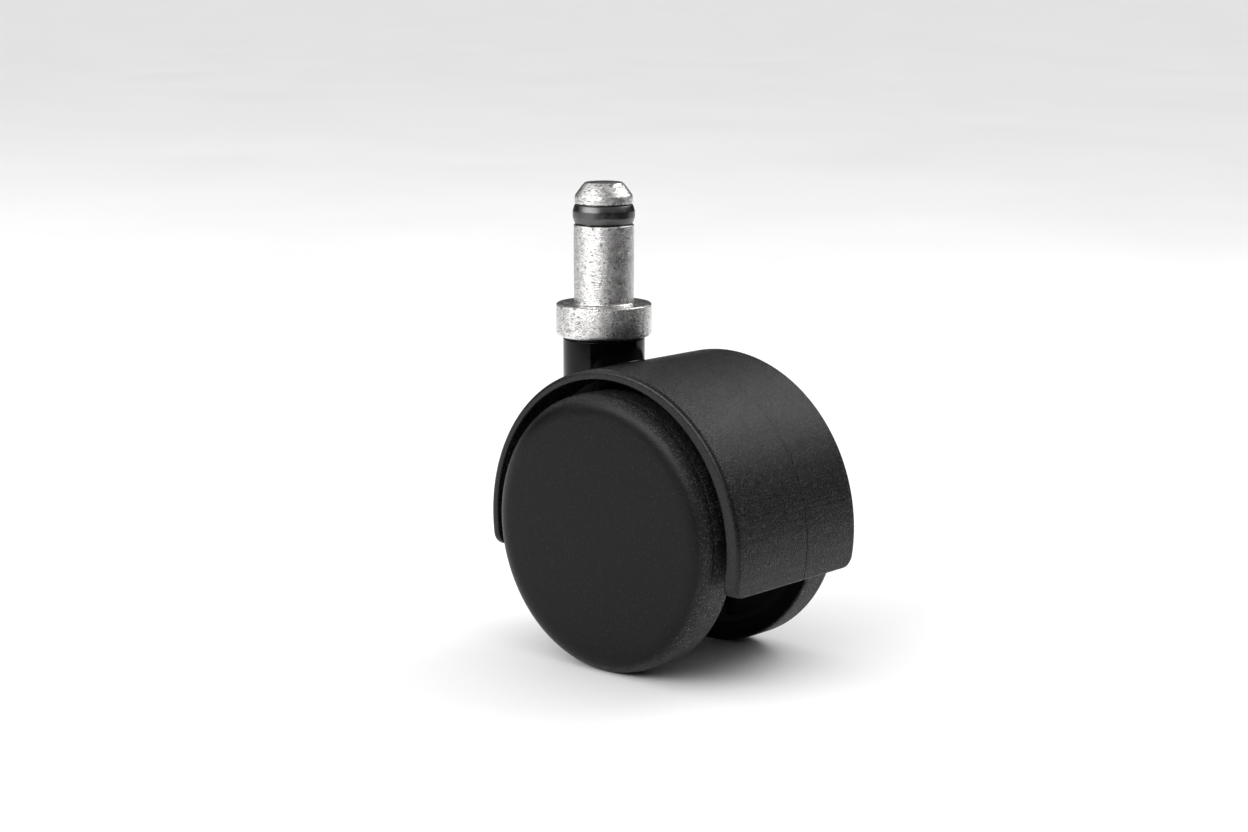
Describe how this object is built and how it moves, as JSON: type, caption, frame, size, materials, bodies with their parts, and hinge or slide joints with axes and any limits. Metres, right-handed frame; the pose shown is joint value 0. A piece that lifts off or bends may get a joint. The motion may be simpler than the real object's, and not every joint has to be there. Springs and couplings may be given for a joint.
{
  "type": "hooded twin-wheel furniture caster",
  "caption": "Swivelling chair caster: two free-rolling wheels under a moulded hood, on a steel stem with a collar and a split grip ring.",
  "frame": {"origin": "centre of the collar's top face, on the swivel axis", "axes": "+Z along the stem, up into the leg; +X from the stem towards the trailing axle; the axle lies along Y, and the left wheel is at -Y"},
  "size_m": [0.059, 0.0388, 0.0848],
  "materials": {
    "hood_nylon": "fine moulded grain",
    "wheel_nylon": "matt",
    "cover_nylon": "very fine satin grain",
    "tread_grain": "coarse matt grain",
    "acetal": "satin",
    "zinc_plate": "zinc plated, finely pitted",
    "spring_steel": "dark oiled",
    "hard_steel": "ground"
  },
  "bodies": {
    "stem": {"stem": "zinc_plate", "grip_ring": "spring_steel", "stem_clip": "spring_steel"},
    "housing": {"housing": "hood_nylon", "thrust_washer": "acetal", "upper_swivel_bush": "acetal", "lower_swivel_bush": "acetal", "wear_disc": "hard_steel", "axle": "hard_steel", "left_washer": "acetal", "right_washer": "acetal", "left_axle_clip": "spring_steel", "right_axle_clip": "spring_steel"},
    "left_wheel": {"left_wheel": "wheel_nylon", "left_tread": "tread_grain", "left_cover": "cover_nylon", "left_wheel_bush": "acetal"},
    "right_wheel": {"right_wheel": "wheel_nylon", "right_tread": "tread_grain", "right_cover": "cover_nylon", "right_wheel_bush": "acetal"}
  },
  "joints": [
    {"name": "swivel", "type": "hinge", "parent": "stem", "child": "housing", "pos_m": [0, 0, 0], "axis": [0, 0, 1], "continuous": true},
    {"name": "left_roll", "type": "hinge", "parent": "housing", "child": "left_wheel", "pos_m": [0.0157, 0, -0.0378], "axis": [0, 1, 0], "continuous": true},
    {"name": "right_roll", "type": "hinge", "parent": "housing", "child": "right_wheel", "pos_m": [0.0157, 0, -0.0378], "axis": [0, 1, 0], "continuous": true}
  ]
}
